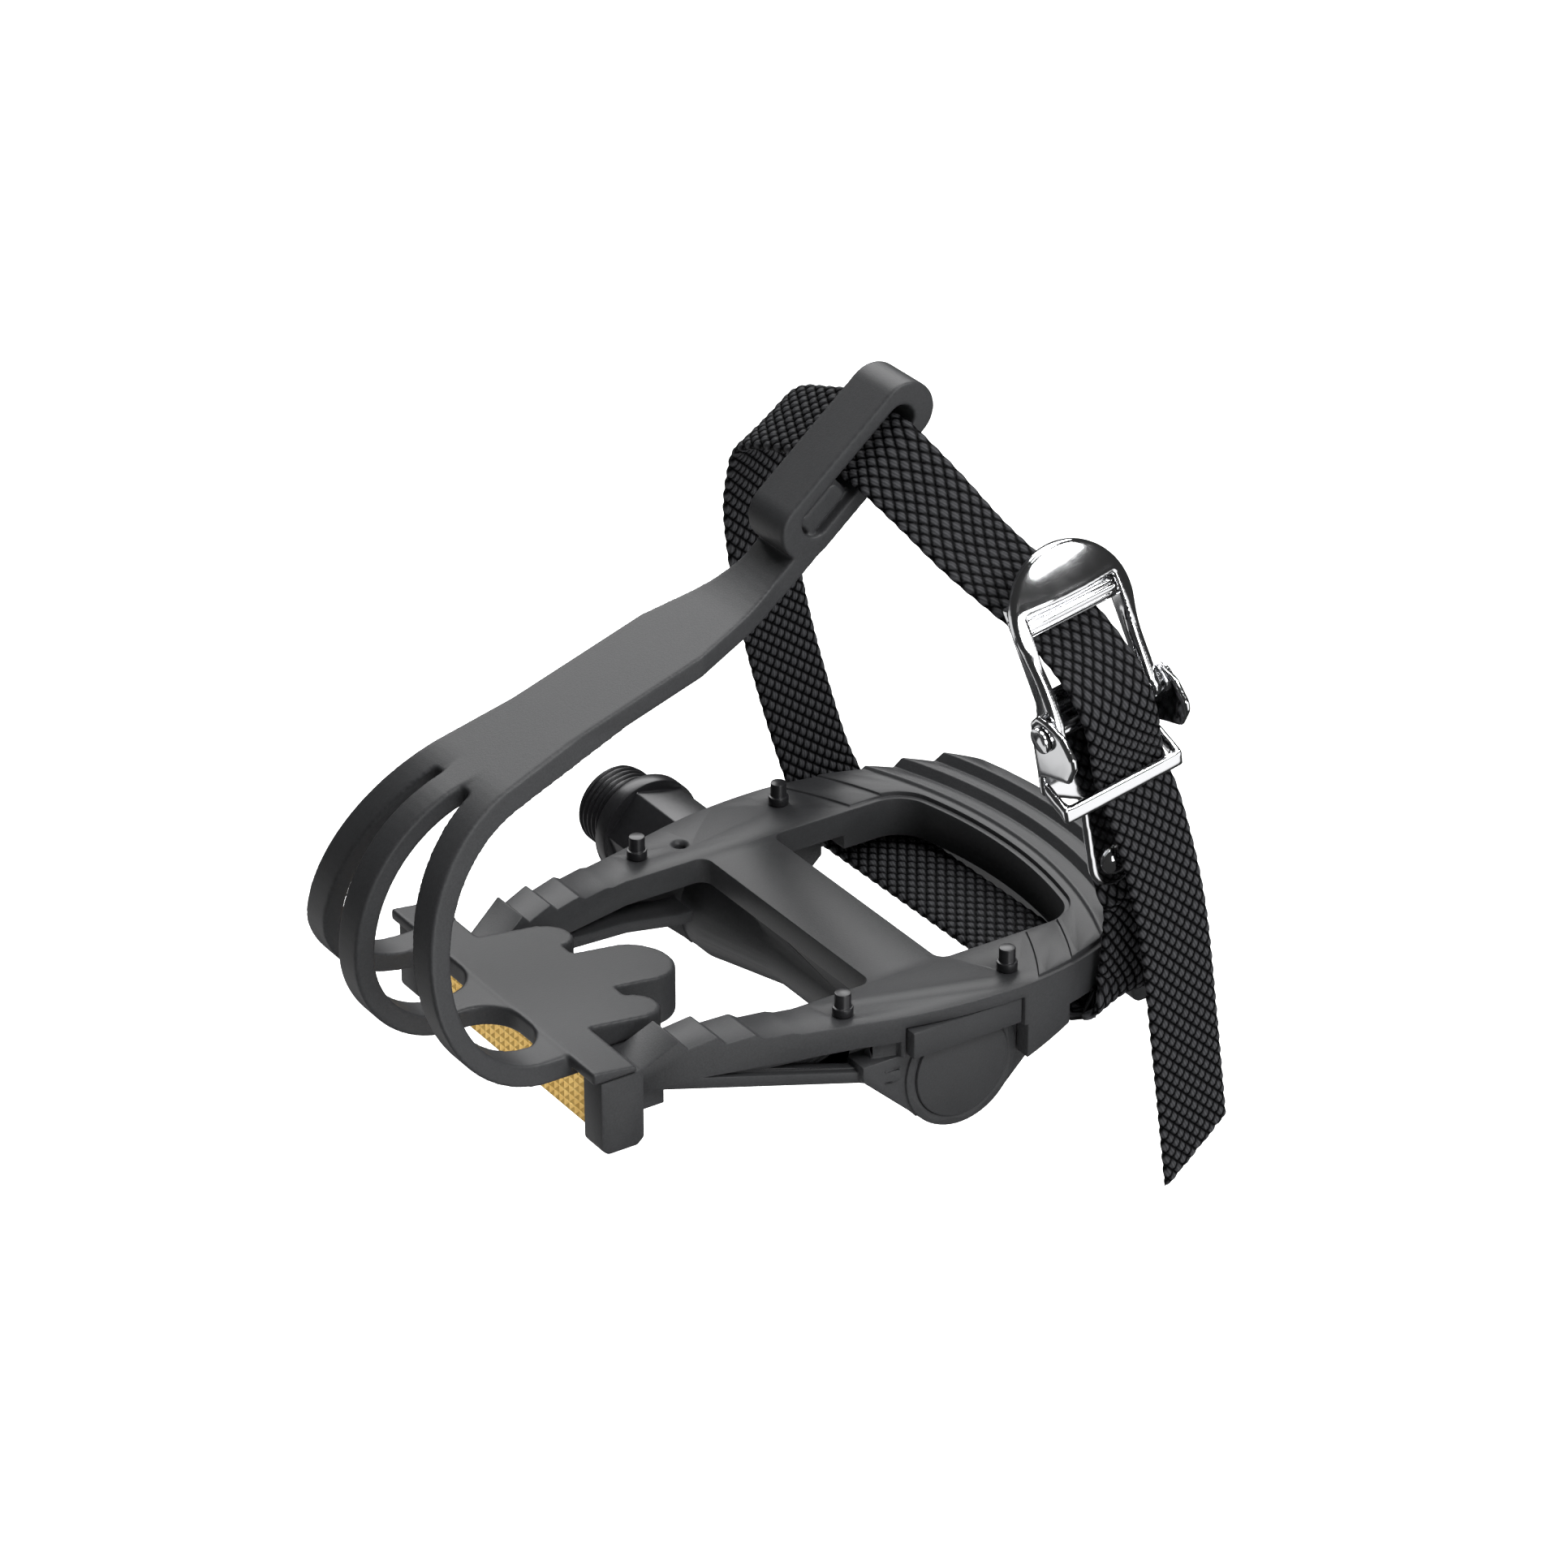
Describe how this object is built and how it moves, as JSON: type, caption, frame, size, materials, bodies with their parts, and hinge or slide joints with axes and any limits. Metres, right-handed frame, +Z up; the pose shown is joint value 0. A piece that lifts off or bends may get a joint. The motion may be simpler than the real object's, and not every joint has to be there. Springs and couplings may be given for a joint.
{
  "type": "toe clip pedal",
  "caption": "Left-hand resin bicycle pedal on a threaded steel spindle, with a pronged toe clip, a webbing strap, a chrome cam buckle and amber reflectors.",
  "frame": {"origin": "on the spindle's axis, where its flange seats on the crank", "axes": "+X to the toe, +Y along the spindle away from the crank, +Z up from the deck"},
  "size_m": [0.1347, 0.1171, 0.1331],
  "materials": {
    "resin": "fine grained black glass-filled resin",
    "webbing": "coarse black woven webbing",
    "chrome": "mirror bright",
    "black_steel": "blackened, satin",
    "bright_steel": "ground",
    "amber_lens": "moulded prisms",
    "seal_rubber": "smooth"
  },
  "bodies": {
    "spindle_set": {"spindle": "black_steel", "outer_cone": "bright_steel", "lock_washer": "bright_steel", "lock_nut": "bright_steel"},
    "pedal": {"pedal_body": "resin", "grip_pins": "black_steel", "end_cover": "resin", "inner_seal": "seal_rubber", "inner_cup": "bright_steel", "outer_cup": "bright_steel", "front_reflector_housing": "resin", "front_reflector_lens": "amber_lens", "rear_reflector_housing": "resin", "rear_reflector_lens": "amber_lens", "toe_clip": "resin", "clip_screws": "bright_steel", "clip_washers": "bright_steel", "strap": "webbing", "buckle_base": "chrome", "strap_keeper": "chrome", "lever_pin": "chrome", "buckle_rivet": "chrome"},
    "lever": {"buckle_lever": "chrome", "buckle_roller": "chrome"},
    "inner_ball_ring": {"inner_balls": "bright_steel"},
    "outer_ball_ring": {"outer_balls": "bright_steel"}
  },
  "joints": [
    {"name": "pedal_spin", "type": "hinge", "parent": "spindle_set", "child": "pedal", "pos_m": [0, 0.0574, 0], "axis": [0, 1, 0], "continuous": true},
    {"name": "lever_open", "type": "hinge", "parent": "pedal", "child": "lever", "pos_m": [-0.0192, 0.1003, 0.06003], "axis": [-0.9816, 0.0057, 0.1906], "range_deg": [0, 100]},
    {"name": "inner_ball_run", "type": "hinge", "parent": "spindle_set", "child": "inner_ball_ring", "pos_m": [0, 0.0242, 0], "axis": [0, 1, 0], "continuous": true},
    {"name": "outer_ball_run", "type": "hinge", "parent": "spindle_set", "child": "outer_ball_ring", "pos_m": [0, 0.0799, 0], "axis": [0, 1, 0], "continuous": true}
  ],
  "couplings": [
    {"joint": "inner_ball_run", "follows": "pedal_spin", "ratio": 0.588},
    {"joint": "outer_ball_run", "follows": "pedal_spin", "ratio": 0.588}
  ]
}
